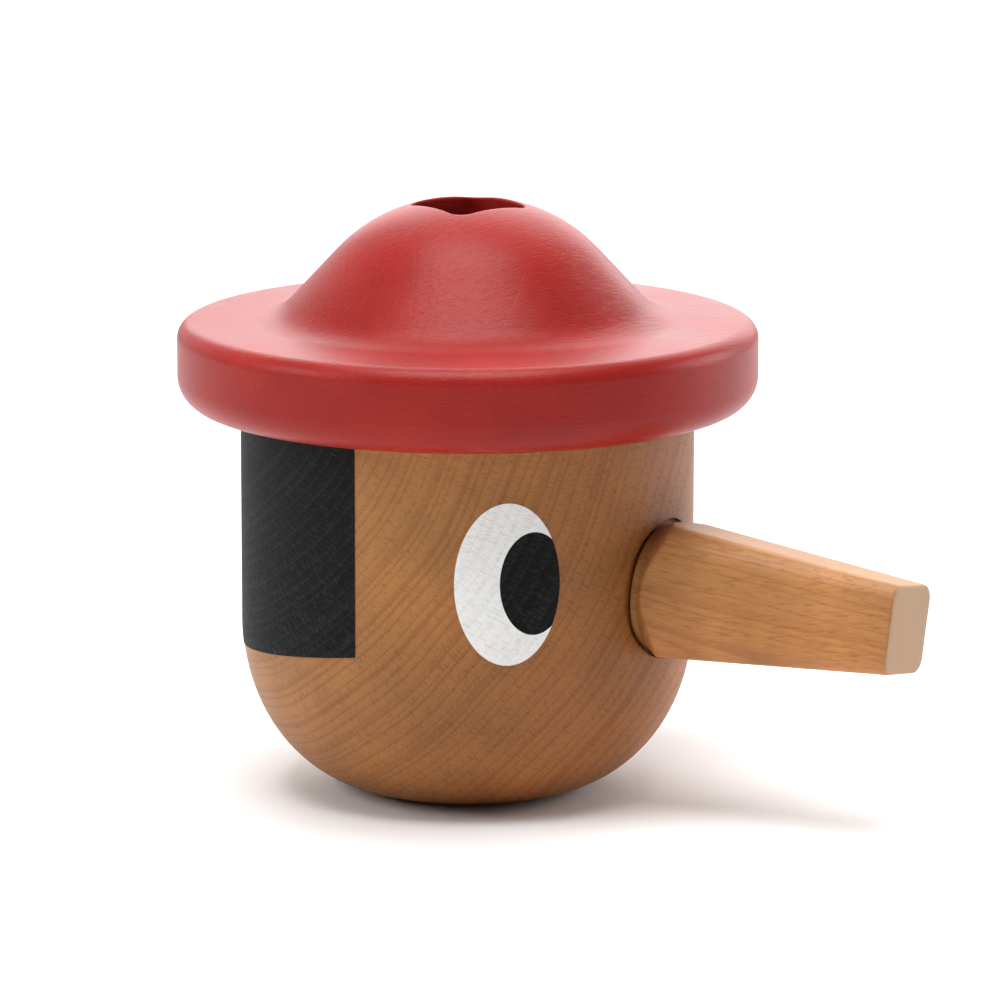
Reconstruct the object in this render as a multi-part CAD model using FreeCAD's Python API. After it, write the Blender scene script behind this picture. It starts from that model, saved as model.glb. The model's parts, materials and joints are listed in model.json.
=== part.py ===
"""A turned beech nutcracker shaped as a bird's head.

The head is a thick pot with a wide-brimmed wooden hat as its lid.  The beak is the handle of a
wooden screw that runs through the pot wall and presses a nut against the wall behind it.  The
square hole in the hat is a key: off the pot, the hat fits over the beak as a hand wheel.

Frame: millimetres, +Z up, the beak points along +X, origin at the centre of the base.
"""
import FreeCAD, Part
import math
import os
from FreeCAD import Vector

# Pot
POT_RADIUS = 40.0
POT_HEIGHT = 73.4
POT_BASE_RADIUS = 15.0        # the flat that it stands on
POT_CURVE_HEIGHT = 30.0       # the rounded underside ends here and the straight wall starts
POT_WALL = 14.0
POT_FLOOR = 13.0
CAVITY_CORNER = 17.0          # round between cavity floor and wall
RIM_ROUND = 1.5

# Hat
BRIM_REACH = 11.2             # the brim stands out this far past the pot
HAT_SKIRT = 5.0               # the hat hangs this far below the pot's rim
BRIM_THICKNESS = 15.7         # at the foot of the crown
BRIM_FALL = 0.6               # the brim's top drops this much from crown to edge
BRIM_TOP_ROUND = 3.0
BRIM_BOTTOM_ROUND = 5.7
CROWN_HEIGHT = 20.8           # above the brim
CROWN_ROUND = 28.4
CROWN_FOOT_RADIUS = 34.1      # where flank and brim would meet without their hollow round
CROWN_FOOT_ROUND = 10.2
CROWN_FLANK_ANGLE = 47.0      # degrees from level
HAT_FIT = 0.4                 # gap round the pot's rim
RECESS_ROUND = 1.0

# Square keyhole through the hat, tapered like the beak
KEYHOLE_ANGLE = 66.5          # degrees from the beak to the middle of one flat
KEYHOLE_FIT = 0.2             # added to the beak's side
KEYHOLE_MARGIN = 3.0          # the cutting shape runs past both faces

# Beak, which is the screw's handle
BEAK_LENGTH = 48.15
BEAK_ROOT_SIDE = 24.0
BEAK_TIP_SIDE = 15.4
BEAK_ROOT_CORNER = 6.2
BEAK_TIP_CORNER = 2.8
BEAK_TIP_EASE = 0.5           # round of the edge about the end face
BEAK_ROLL = -9.5              # degrees, where the screw happens to stop
ROOT_RADIUS = 11.2            # the root is turned round to enter its seat in the pot
ROOT_STRAIGHT = 1.4           # length of the turned part before it flares into the square
ROOT_FLARE_RADIUS = 15.5
ROOT_FLARE_LENGTH = 7.5       # from the root face, where the flare has left the wood
SEAT_RADIUS = 12.3            # round recess in the pot's wall
SEAT_GAP = 0.4                # from the root face to the recess floor
SHOULDER_DEPTH = 1.6          # the root face lies this far inside the wall's outermost line
SCREW_Z = 39.5                # height of the axis at the shoulder
SCREW_DIP = 2.9               # degrees that the axis falls towards the tip

# Screw
SCREW_LENGTH = 51.7           # from the shoulder to the blunt end
SCREW_END_CHAMFER = 1.5
THREAD_RADIUS = 10.0
THREAD_DEPTH = 1.75
THREAD_PITCH = 5.0
THREAD_CREST = 1.1            # width of the flat on top of the thread
THREAD_ROOT_LAND = 0.9        # width of the flat between two turns
THREAD_CLEARANCE = 0.3        # from the screw to the pot's thread
NECK_LENGTH = 2.5             # plain length under the shoulder
TENON_RADIUS = 6.0
TENON_LENGTH = 18.0           # glued into the beak
BORE_MARGIN = 4.0             # the tapped hole's cutting shape runs past both faces of the wall

# Swivel pad on the end of the screw, held by a pin
PAD_RADIUS = 9.0
PAD_THICKNESS = 5.0
PAD_ROUND = 1.2
PAD_GAP = 0.3
PIN_RADIUS = 1.25
PIN_HEAD_RADIUS = 2.6
PIN_HEAD_HEIGHT = 1.4
PIN_GRIP = 14.0               # length driven into the screw
PIN_CLEARANCE = 0.3

# Printed face
PRINT_THICKNESS = 0.12
EYE_ANGLE = 50.6              # degrees round the pot from the beak
EYE_Z = 44.3
EYE_HALF_WIDTH = 9.2
EYE_HALF_HEIGHT = 14.2
PUPIL_HALF_WIDTH = 6.0
PUPIL_HALF_HEIGHT = 9.0
PUPIL_SHIFT = 4.57            # towards the beak, along the wall
HAIR_HALF_ANGLE = 90.5        # each side of the back
HAIR_BOTTOM_Z = 30.5          # at its front edges
HAIR_SLOPE = 0.133            # its lower edge drops towards the back by this share
HAIR_TOP_GAP = 0.3            # stops this far under the rim's round

Z_AXIS = Vector(0, 0, 1)
CENTRE = Vector(0, 0, 0)
HAT_RADIUS = POT_RADIUS + BRIM_REACH
HAT_UNDERSIDE_Z = POT_HEIGHT - HAT_SKIRT
BRIM_Z = HAT_UNDERSIDE_Z + BRIM_THICKNESS
HAT_TOP_Z = BRIM_Z + CROWN_HEIGHT
SHOULDER_X = POT_RADIUS - SHOULDER_DEPTH


def rounded_wire(points, radii):
    """Close an outline in the XZ plane, each corner rounded by its own radius (0 stays sharp)."""
    corners = [Vector(x, 0, z) for x, z in points]
    starts = []
    middles = []
    ends = []
    for i, corner in enumerate(corners):
        before = (corners[i - 1] - corner).normalize()
        after = (corners[(i + 1) % len(corners)] - corner).normalize()
        half = before.getAngle(after) / 2
        reach = radii[i] / math.tan(half)
        inset = radii[i] / math.sin(half) - radii[i]
        starts.append(corner + before * reach)
        middles.append(corner + (before + after).normalize() * inset)
        ends.append(corner + after * reach)
    edges = []
    for i, radius in enumerate(radii):
        following = starts[(i + 1) % len(corners)]
        if radius > 0:
            edges.append(Part.Arc(starts[i], middles[i], ends[i]).toShape())
        edges.append(Part.makeLine(ends[i], following))
    return Part.Wire(edges)


def turned(wire):
    return Part.Face(wire).revolve(CENTRE, Z_AXIS, 360)


def screw_placement():
    """Local +Z runs outwards along the screw from the centre of the beak's shoulder."""
    tilt = FreeCAD.Rotation(Vector(0, 1, 0), 90 + SCREW_DIP)
    return FreeCAD.Placement(Vector(SHOULDER_X, 0, SCREW_Z), tilt)


def on_screw_axis(shape):
    placed = shape.copy()
    placed.Placement = screw_placement().multiply(shape.Placement)
    return placed


def rounded_square(side, corner, z):
    half = side / 2
    flat = half - corner
    bulge = flat + corner * math.sqrt(0.5)
    lift = Vector(0, 0, z)
    edges = []
    for k in range(4):
        turn = FreeCAD.Rotation(Z_AXIS, 90 * k)
        start = turn.multVec(Vector(half, flat, 0)) + lift
        middle = turn.multVec(Vector(bulge, bulge, 0)) + lift
        end = turn.multVec(Vector(flat, half, 0)) + lift
        following = turn.multVec(Vector(-flat, half, 0)) + lift
        edges.append(Part.Arc(start, middle, end).toShape())
        edges.append(Part.makeLine(end, following))
    return Part.Wire(edges)


def beak_taper(near, far, fit):
    """The beak's tapered square between two distances from its tip, grown by a fit."""
    sections = []
    for distance in (near, far):
        share = distance / BEAK_LENGTH
        side = BEAK_TIP_SIDE + (BEAK_ROOT_SIDE - BEAK_TIP_SIDE) * share + fit
        corner = BEAK_TIP_CORNER + (BEAK_ROOT_CORNER - BEAK_TIP_CORNER) * share
        sections.append(rounded_square(side, corner, -distance))
    return Part.makeLoft(sections, True, True)


def thread_cutter(radius, crest, low, high):
    """A right-handed thread on its core between two heights, in phase whatever its ends are."""
    core_radius = radius - THREAD_DEPTH
    slope = (THREAD_PITCH - THREAD_CREST - THREAD_ROOT_LAND) / 2
    sunk = 0.2 * THREAD_DEPTH
    half_root = crest / 2 + slope * (THREAD_DEPTH + sunk) / THREAD_DEPTH
    profile = Part.makePolygon([
        Vector(core_radius - sunk, 0, -half_root),
        Vector(radius, 0, -crest / 2),
        Vector(radius, 0, crest / 2),
        Vector(core_radius - sunk, 0, half_root),
        Vector(core_radius - sunk, 0, -half_root)])
    first = (math.floor(low / THREAD_PITCH) - 1) * THREAD_PITCH
    last = (math.ceil(high / THREAD_PITCH) + 1) * THREAD_PITCH
    helix = Part.makeHelix(THREAD_PITCH, last - first, radius)
    thread = Part.Wire(helix.Edges).makePipeShell([profile], True, True)
    thread.translate(Vector(0, 0, first))
    core_start = Vector(0, 0, first - THREAD_PITCH)
    core = Part.makeCylinder(core_radius, last - first + 2 * THREAD_PITCH, core_start)
    stretch = Part.makeCylinder(2 * radius, high - low, Vector(0, 0, low))
    return core.fuse(thread).common(stretch)


def quarter_ellipse(centre_x, centre_z, across, drop):
    """From the lowest point of an ellipse up to its outermost point."""
    arc = Part.Arc(Vector(0, 0, -1), Vector(math.sqrt(0.5), 0, -math.sqrt(0.5)), Vector(1, 0, 0))
    stretch = FreeCAD.Matrix()
    stretch.scale(across, 1, drop)
    stretch.move(Vector(centre_x, 0, centre_z))
    return arc.toShape().transformGeometry(stretch).Edges[0]


def pot_blank(grown):
    """A flat base, a quarter ellipse up to the straight wall, all grown outwards by one distance."""
    axis_bottom = Vector(0, 0, -grown)
    base_edge = Vector(POT_BASE_RADIUS, 0, -grown)
    wall_start = Vector(POT_RADIUS + grown, 0, POT_CURVE_HEIGHT)
    wall_top = Vector(POT_RADIUS + grown, 0, POT_HEIGHT)
    axis_top = Vector(0, 0, POT_HEIGHT)
    across = POT_RADIUS - POT_BASE_RADIUS + grown
    curve = quarter_ellipse(POT_BASE_RADIUS, POT_CURVE_HEIGHT, across, POT_CURVE_HEIGHT + grown)
    return turned(Part.Wire([
        Part.makeLine(axis_bottom, base_edge),
        curve,
        Part.makeLine(wall_start, wall_top),
        Part.makeLine(wall_top, axis_top),
        Part.makeLine(axis_top, axis_bottom)]))


def make_pot():
    """The blank with a deep cavity, a softened rim, a round seat for the beak and a tapped hole."""
    cavity_radius = POT_RADIUS - POT_WALL
    cavity = turned(rounded_wire(
        [(0, POT_FLOOR), (cavity_radius, POT_FLOOR), (cavity_radius, POT_HEIGHT + 1), (0, POT_HEIGHT + 1)],
        [0, CAVITY_CORNER, 0, 0]))
    pot = pot_blank(0).cut(cavity)
    rim = [edge for edge in pot.Edges if edge.BoundBox.ZMin > POT_HEIGHT - 0.01]
    pot = pot.makeFillet(RIM_ROUND, rim)
    tapped = thread_cutter(
        THREAD_RADIUS + THREAD_CLEARANCE,
        THREAD_CREST + THREAD_CLEARANCE,
        -POT_WALL - BORE_MARGIN,
        BORE_MARGIN)
    seat = Part.makeCylinder(SEAT_RADIUS, SEAT_GAP + BORE_MARGIN, Vector(0, 0, -SEAT_GAP))
    return pot.cut([on_screw_axis(tapped), on_screw_axis(seat)])


def make_hat():
    """Turned from one disc: a crown flowing into a wide brim, with a recess for the pot's rim."""
    recess_radius = POT_RADIUS + HAT_FIT
    flank = math.tan(math.radians(CROWN_FLANK_ANGLE))
    fall = BRIM_FALL / (HAT_RADIUS - CROWN_FOOT_RADIUS)
    crown_corner = CROWN_FOOT_RADIUS - CROWN_HEIGHT / flank
    blank = turned(rounded_wire(
        [(0, POT_HEIGHT), (0, HAT_TOP_Z), (crown_corner, HAT_TOP_Z), (CROWN_FOOT_RADIUS, BRIM_Z),
         (HAT_RADIUS, BRIM_Z - fall * (HAT_RADIUS - CROWN_FOOT_RADIUS)),
         (HAT_RADIUS, HAT_UNDERSIDE_Z), (recess_radius, HAT_UNDERSIDE_Z), (recess_radius, POT_HEIGHT)],
        [0, 0, CROWN_ROUND, CROWN_FOOT_ROUND, BRIM_TOP_ROUND, BRIM_BOTTOM_ROUND, RECESS_ROUND, 0]))
    keyhole = beak_taper(-KEYHOLE_MARGIN, HAT_TOP_Z - POT_HEIGHT + KEYHOLE_MARGIN, KEYHOLE_FIT)
    keyhole.translate(Vector(0, 0, HAT_TOP_Z))
    keyhole.rotate(CENTRE, Z_AXIS, KEYHOLE_ANGLE)
    return blank.cut(keyhole)


def make_beak():
    """Square and tapered, its root turned round, with a blind hole for the screw's tenon."""
    beak = beak_taper(0, BEAK_LENGTH, 0)
    beak.translate(Vector(0, 0, BEAK_LENGTH))
    end_edges = [edge for edge in beak.Edges if edge.BoundBox.ZMin > BEAK_LENGTH - 0.01]
    beak = beak.makeFillet(BEAK_TIP_EASE, end_edges)
    beak.rotate(CENTRE, Z_AXIS, BEAK_ROLL)
    lathe = turned(rounded_wire(
        [(0, 0), (ROOT_RADIUS, 0), (ROOT_RADIUS, ROOT_STRAIGHT), (ROOT_FLARE_RADIUS, ROOT_FLARE_LENGTH),
         (ROOT_FLARE_RADIUS, BEAK_LENGTH), (0, BEAK_LENGTH)],
        [0, BEAK_TIP_EASE, 0, 0, 0, 0]))
    return on_screw_axis(beak.common(lathe).cut(Part.makeCylinder(TENON_RADIUS, TENON_LENGTH)))


def make_screw():
    """Threaded to a short plain neck, with a tenon for the beak and a hole for the pad's pin."""
    rod = thread_cutter(THREAD_RADIUS, THREAD_CREST, -SCREW_LENGTH, -NECK_LENGTH)
    end_radius = THREAD_RADIUS - SCREW_END_CHAMFER
    cone = Part.makeCone(end_radius, end_radius + SCREW_LENGTH, SCREW_LENGTH, Vector(0, 0, -SCREW_LENGTH))
    neck = Part.makeCylinder(THREAD_RADIUS - THREAD_DEPTH, NECK_LENGTH, Vector(0, 0, -NECK_LENGTH))
    tenon = Part.makeCylinder(TENON_RADIUS, TENON_LENGTH)
    pin_hole = Part.makeCylinder(PIN_RADIUS, PIN_GRIP, Vector(0, 0, -SCREW_LENGTH))
    screw = rod.common(cone).fuse([neck, tenon]).removeSplitter()
    return on_screw_axis(screw.cut(pin_hole))


def make_pad():
    """A small round cushion that stands still against the nut while the screw turns behind it."""
    back = -SCREW_LENGTH - PAD_GAP
    front = back - PAD_THICKNESS
    pad = Part.makeCylinder(PAD_RADIUS, PAD_THICKNESS, Vector(0, 0, front))
    pad = pad.makeFillet(PAD_ROUND, [edge for edge in pad.Edges if edge.BoundBox.ZMax < front + 0.01])
    hole = Part.makeCylinder(PIN_RADIUS + PIN_CLEARANCE, PAD_THICKNESS, Vector(0, 0, front))
    sink_depth = PIN_HEAD_HEIGHT + 2 * PIN_CLEARANCE
    sink = Part.makeCylinder(PIN_HEAD_RADIUS + PIN_CLEARANCE, sink_depth, Vector(0, 0, front))
    return on_screw_axis(pad.cut([hole, sink]))


def make_pin():
    """A round-headed steel pin, driven into the end of the screw with its head sunk in the pad."""
    under_head = -SCREW_LENGTH - PAD_GAP - PAD_THICKNESS + PIN_CLEARANCE + PIN_HEAD_HEIGHT
    shank_length = PIN_GRIP - SCREW_LENGTH - under_head
    head = Part.makeCylinder(PIN_HEAD_RADIUS, PIN_HEAD_HEIGHT, Vector(0, 0, under_head - PIN_HEAD_HEIGHT))
    shank = Part.makeCylinder(PIN_RADIUS, shank_length, Vector(0, 0, under_head))
    return on_screw_axis(head.fuse(shank).removeSplitter())


def print_skin(low, high):
    """The thin layer of ink on the straight wall between two heights."""
    outer = Part.makeCylinder(POT_RADIUS + PRINT_THICKNESS, high - low, Vector(0, 0, low))
    return outer.cut(Part.makeCylinder(POT_RADIUS, high - low, Vector(0, 0, low)))


def oval_prism(half_width, half_height, angle):
    """An upright oval seen straight on from outside the pot, at an angle round it."""
    oval = Part.Wire([
        Part.Arc(Vector(0, 0, -1), Vector(0, 1, 0), Vector(0, 0, 1)).toShape(),
        Part.Arc(Vector(0, 0, 1), Vector(0, -1, 0), Vector(0, 0, -1)).toShape()])
    stretch = FreeCAD.Matrix()
    stretch.scale(1, half_width, half_height)
    stretch.move(Vector(POT_RADIUS / 2, 0, EYE_Z))
    prism = Part.Face(Part.Wire(oval.transformGeometry(stretch).Edges)).extrude(Vector(POT_RADIUS, 0, 0))
    prism.rotate(CENTRE, Z_AXIS, angle)
    return prism


def make_eye(side):
    """White and pupil, printed edge to edge; the eye's outline cuts the pupil off at the front."""
    skin = print_skin(EYE_Z - EYE_HALF_HEIGHT - 1, EYE_Z + EYE_HALF_HEIGHT + 1)
    toward_beak = math.degrees(PUPIL_SHIFT / POT_RADIUS)
    eye = skin.common(oval_prism(EYE_HALF_WIDTH, EYE_HALF_HEIGHT, side * EYE_ANGLE))
    pupil_area = oval_prism(PUPIL_HALF_WIDTH, PUPIL_HALF_HEIGHT, side * (EYE_ANGLE - toward_beak))
    return eye.cut(pupil_area), eye.common(pupil_area)


def make_hair():
    """The black half of the head, its lower edge dropping towards the back."""
    top = POT_HEIGHT - RIM_ROUND - HAIR_TOP_GAP
    front = -POT_RADIUS * math.cos(math.radians(HAIR_HALF_ANGLE))
    behind = -2 * POT_RADIUS
    side = Part.makePolygon([
        Vector(front, behind, HAIR_BOTTOM_Z),
        Vector(front, behind, top),
        Vector(behind, behind, top),
        Vector(behind, behind, HAIR_BOTTOM_Z + HAIR_SLOPE * behind),
        Vector(front, behind, HAIR_BOTTOM_Z)])
    area = Part.Face(side).extrude(Vector(0, 4 * POT_RADIUS, 0))
    return pot_blank(PRINT_THICKNESS).cut(pot_blank(0)).common(area)


def build():
    nodes = {
        "pot": make_pot(),
        "hair_patch": make_hair(),
        "hat": make_hat(),
        "beak": make_beak(),
        "screw": make_screw(),
        "pressure_pad": make_pad(),
        "pad_pin": make_pin(),
    }
    for name, side in (("left", 1), ("right", -1)):
        nodes["eye_white_" + name], nodes["pupil_" + name] = make_eye(side)
    os.makedirs("parts", exist_ok=True)
    for name, shape in nodes.items():
        shape.exportStep("parts/" + name + ".step")
        print(name, len(shape.Solids), shape.isValid(), round(shape.Volume, 1))


build()
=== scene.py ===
import json
import math

import bmesh
import bpy
from bpy.props import FloatProperty, FloatVectorProperty, IntProperty, PointerProperty
from mathutils import Matrix, Vector


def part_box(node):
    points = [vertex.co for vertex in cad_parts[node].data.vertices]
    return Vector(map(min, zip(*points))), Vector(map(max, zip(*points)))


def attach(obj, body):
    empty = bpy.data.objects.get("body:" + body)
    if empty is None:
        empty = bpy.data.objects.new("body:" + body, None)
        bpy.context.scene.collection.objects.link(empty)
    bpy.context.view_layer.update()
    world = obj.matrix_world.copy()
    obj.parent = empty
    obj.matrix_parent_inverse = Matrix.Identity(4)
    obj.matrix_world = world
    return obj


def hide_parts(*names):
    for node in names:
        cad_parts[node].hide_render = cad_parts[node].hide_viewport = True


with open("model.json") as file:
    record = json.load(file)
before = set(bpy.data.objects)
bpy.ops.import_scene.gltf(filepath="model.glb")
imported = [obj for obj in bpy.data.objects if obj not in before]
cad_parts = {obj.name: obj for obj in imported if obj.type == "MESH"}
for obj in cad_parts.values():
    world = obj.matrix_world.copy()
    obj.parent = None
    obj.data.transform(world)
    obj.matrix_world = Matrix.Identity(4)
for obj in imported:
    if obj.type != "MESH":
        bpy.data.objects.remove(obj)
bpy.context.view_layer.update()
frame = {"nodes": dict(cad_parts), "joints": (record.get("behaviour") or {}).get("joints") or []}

bl_info = {
    "name": "Bird-head nutcracker",
    "version": (1, 0, 0),
    "blender": (4, 5, 0),
    "location": "3D View > Sidebar > Nutcracker",
    "description": "Makes the turned, printed and lacquered pieces of a wooden screw nutcracker",
    "category": "Object",
}

MM = 0.001
WELD = 1e-7             # points nearer than this, in metres, are one point
THREAD_ROW = 0.25 * MM  # height of one row of faces on a thread
POT_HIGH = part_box("pot")[1]
HAT_LOW, HAT_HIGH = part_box("hat")
JOINTS = {joint["name"]: joint for joint in frame["joints"]}
SCREW_ORIGIN = Vector(JOINTS["beak_turn"]["pos_m"])
SCREW_AXIS = Vector(JOINTS["beak_turn"]["axis"])
THREAD_PITCH = JOINTS["beak_travel"]["range_m"][1] / round(JOINTS["beak_turn"]["range_deg"][1] / 360)


def linear(hex_colour):
    """An sRGB colour written as hex, as the linear RGBA that shaders take."""
    values = [int(hex_colour[i:i + 2], 16) / 255 for i in (1, 3, 5)]
    return [v / 12.92 if v <= 0.04045 else ((v + 0.055) / 1.055) ** 2.4 for v in values] + [1.0]


def length(name, metres, description):
    return FloatProperty(
        name=name, default=metres, min=0, unit="LENGTH", precision=5, description=description)


def angle(name, degrees, description):
    return FloatProperty(name=name, default=math.radians(degrees), subtype="ANGLE", description=description)


def colour(name, hex_colour, description):
    return FloatVectorProperty(
        name=name, default=linear(hex_colour), size=4, min=0, max=1, subtype="COLOR", description=description)


class PotSizes(bpy.types.PropertyGroup):
    radius: length("Radius", POT_HIGH.x, "Outside of the straight wall")
    height: length("Height", POT_HIGH.z, "From the table to the rim")
    base_radius: length("Base radius", 15.0 * MM, "Flat that the pot stands on")
    curve_height: length("Curve height", 30.0 * MM, "Where the rounded underside meets the straight wall")
    wall: length("Wall", 14.0 * MM, "Thick enough to carry a wooden thread")
    floor: length("Floor", 13.0 * MM, "Height of the cavity's floor")
    cavity_corner: length("Cavity corner", 17.0 * MM, "Round between cavity floor and wall")
    rim_round: length("Rim round", 1.5 * MM, "Softened edges of the rim")
    seat_radius: length("Seat radius", 12.3 * MM, "Round recess that the beak's root turns in")
    seat_gap: length("Seat gap", 0.4 * MM, "From the root face to the recess floor")


class HatSizes(bpy.types.PropertyGroup):
    radius: length("Radius", HAT_HIGH.x, "Outside of the brim")
    underside: length("Underside", HAT_LOW.z, "Height of the brim's lower face")
    top: length("Top", POT_HIGH.z + 31.5 * MM, "Height that the crown would reach without its hole")
    brim_thickness: length("Brim thickness", 15.7 * MM, "Brim at the foot of the crown")
    brim_fall: length("Brim fall", 0.6 * MM, "Drop of the brim's top from crown to edge")
    top_round: length("Upper edge", 3.0 * MM, "Round of the brim's upper edge")
    bottom_round: length("Lower edge", 5.7 * MM, "Round of the brim's lower edge")
    crown_round: length("Crown round", 28.4 * MM, "Radius of the dome")
    foot_radius: length("Crown foot", 34.1 * MM, "Where flank and brim would meet")
    foot_round: length("Foot round", 10.2 * MM, "Hollow between crown and brim")
    flank_angle: angle("Flank angle", 47.0, "Steepness of the crown's side")
    fit: length("Fit", 0.4 * MM, "Gap round the pot's rim")
    keyhole_angle: angle("Keyhole angle", 66.5, "From the beak to the middle of one flat")
    keyhole_fit: length("Keyhole fit", 0.2 * MM, "Added to the beak's side")
    keyhole_ease: length("Keyhole edge", 0.7 * MM, "Sanded edge of the square hole")


class BeakSizes(bpy.types.PropertyGroup):
    length: length("Length", 48.15 * MM, "From the root face to the end face")
    root_side: length("Root side", 24.0 * MM, "Side of the square at the root")
    tip_side: length("Tip side", 15.4 * MM, "Side of the square at the end face")
    root_corner: length("Root corner", 6.2 * MM, "Corner round at the root")
    tip_corner: length("Tip corner", 2.8 * MM, "Corner round at the end face")
    ease: length("End edge", 0.5 * MM, "Sanded edge about the end face")
    root_ease: length("Root edge", 0.5 * MM, "Sanded edge about the root face")
    root_radius: length("Root radius", 11.2 * MM, "The root is turned round to enter its seat")
    root_straight: length("Root straight", 1.4 * MM, "Turned length before the flare")
    flare_radius: length("Flare radius", 15.5 * MM, "Where the flare has left the wood")
    flare_length: length("Flare length", 7.5 * MM, "From the root face to the end of the flare")
    roll: angle("Roll", -9.5, "Where the screw happens to stop")
    tenon_radius: length("Tenon radius", 6.0 * MM, "Glued joint between beak and screw")
    tenon_length: length("Tenon length", 18.0 * MM, "Depth of the glued joint")


class ScrewSizes(bpy.types.PropertyGroup):
    length: length("Length", 51.7 * MM, "From the root face to the blunt end")
    radius: length("Radius", 10.0 * MM, "Over the thread")
    depth: length("Depth", 1.75 * MM, "Depth of the thread")
    pitch: length("Pitch", THREAD_PITCH, "Travel for one turn of the beak")
    crest: length("Crest", 1.1 * MM, "Flat on top of the thread")
    land: length("Land", 0.9 * MM, "Flat between two turns")
    clearance: length("Clearance", 0.3 * MM, "From the screw to the pot's thread")
    neck: length("Neck", 2.5 * MM, "Plain length behind the root face")
    chamfer: length("End chamfer", 1.5 * MM, "Bevel at the blunt end")
    pad_radius: length("Pad radius", 9.0 * MM, "Swivel pad on the end")
    pad_thickness: length("Pad thickness", 5.0 * MM, "Swivel pad on the end")
    pad_gap: length("Pad gap", 0.3 * MM, "Between screw and pad")
    pad_round: length("Pad round", 1.2 * MM, "Front edge of the pad")
    pin_radius: length("Pin radius", 1.25 * MM, "Shank of the steel pin")
    pin_head: length("Pin head", 2.6 * MM, "Radius of the pin's head")
    pin_head_height: length("Pin head height", 1.4 * MM, "Thickness of the pin's head")
    pin_grip: length("Pin grip", 14.0 * MM, "Length driven into the screw")
    pin_clearance: length("Pin clearance", 0.3 * MM, "Round the pin in the pad")


class Finishes(bpy.types.PropertyGroup):
    pot_light: colour("Pot beech, light", "#A9743F", "Wood between two ring lines, under honey stain")
    pot_dark: colour("Pot beech, dark", "#85542A", "Ring lines under honey stain")
    pot_ray: colour("Pot beech, rays", "#744621", "Short ray flecks")
    beak_light: colour("Beak beech, light", "#BA8653", "Wood between two ring lines, oiled only")
    beak_dark: colour("Beak beech, dark", "#9F6A3C", "Ring lines, oiled only")
    beak_ray: colour("Beak beech, rays", "#8E5730", "Short ray flecks")
    lacquer: colour("Red lacquer", "#98221D", "Sprayed satin lacquer on the hat")
    black_ink: colour("Black ink", "#0B0B0C", "Matt ink of the head and the pupils")
    white_ink: colour("White ink", "#EDEDEB", "Matt ink of the eyes")
    ring_spacing: length("Ring spacing", 1.8 * MM, "One year of growth in beech")
    segments: IntProperty(name="Segments", default=256, min=24, description="Facets round a turned piece")


class NutcrackerSettings(bpy.types.PropertyGroup):
    pot: PointerProperty(type=PotSizes)
    hat: PointerProperty(type=HatSizes)
    beak: PointerProperty(type=BeakSizes)
    screw: PointerProperty(type=ScrewSizes)
    finish: PointerProperty(type=Finishes)


def add(tree, kind, inputs=None, **settings):
    """Adds a node; inputs maps a socket's name or number to a value or to another node's output."""
    node = tree.nodes.new(kind)
    for key, value in settings.items():
        setattr(node, key, value)
    for key, value in (inputs or {}).items():
        if isinstance(value, bpy.types.NodeSocket):
            tree.links.new(value, node.inputs[key])
        else:
            node.inputs[key].default_value = value
    return node


# ---------------------------------------------------------------- outlines and meshes

def rounded_outline(points, radii, step=math.radians(6)):
    """Points of an open outline in (radius, height), with its inner corners rounded."""
    outline = [Vector(points[0])]
    for i in range(1, len(points) - 1):
        corner = Vector(points[i])
        before = (Vector(points[i - 1]) - corner).normalized()
        after = (Vector(points[i + 1]) - corner).normalized()
        half = before.angle(after) / 2
        if radii[i] == 0:
            outline.append(corner)
            continue
        centre = corner + (before + after).normalized() * radii[i] / math.sin(half)
        start = corner + before * radii[i] / math.tan(half) - centre
        sweep = start.angle_signed(corner + after * radii[i] / math.tan(half) - centre)
        steps = max(2, round(abs(sweep) / step))
        for k in range(steps + 1):
            turn = Matrix.Rotation(-sweep * k / steps, 2)
            outline.append(centre + turn @ start)
    outline.append(Vector(points[-1]))
    return outline


def divided(outline, longest):
    """The same outline with its long straight runs cut into shorter ones."""
    result = [outline[0]]
    for start, end in zip(outline, outline[1:]):
        pieces = max(1, math.ceil((end - start).length / longest))
        result += [start.lerp(end, k / pieces) for k in range(1, pieces + 1)]
    return result


def settled(bm, mesh):
    """Welds doubled points, turns every face outwards and writes the result into the mesh."""
    bmesh.ops.remove_doubles(bm, verts=bm.verts, dist=WELD)
    bmesh.ops.recalc_face_normals(bm, faces=bm.faces)
    bm.to_mesh(mesh)
    bm.free()
    return mesh


def mesh_from_rings(name, rings, close_rows):
    """Quads between rings of equal length; an end ring is filled unless the rows close on themselves."""
    bm = bmesh.new()
    rows = [[bm.verts.new(point) for point in ring] for ring in rings]
    count = len(rows[0])
    pairs = list(zip(rows, rows[1:])) + ([(rows[-1], rows[0])] if close_rows else [])
    for low, high in pairs:
        for k in range(count):
            bm.faces.new((low[k], low[(k + 1) % count], high[(k + 1) % count], high[k]))
    if not close_rows:
        for row in (rows[0], rows[-1]):
            middle = bm.verts.new(sum((v.co for v in row), Vector()) / count)
            for k in range(count):
                bm.faces.new((row[k], row[(k + 1) % count], middle))
    return settled(bm, bpy.data.meshes.new(name))


def show(name, mesh, body, nodes, material, sharp=math.radians(38)):
    """Links a finished mesh as a piece that rides on a body and stands for some CAD nodes."""
    mesh.materials.clear()
    mesh.materials.append(material)
    mesh.polygons.foreach_set("use_smooth", [True] * len(mesh.polygons))
    mesh.set_sharp_from_angle(angle=sharp)
    piece = bpy.data.objects.new(name, mesh)
    bpy.context.scene.collection.objects.link(piece)
    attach(piece, body)
    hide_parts(*nodes)
    return piece


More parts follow.
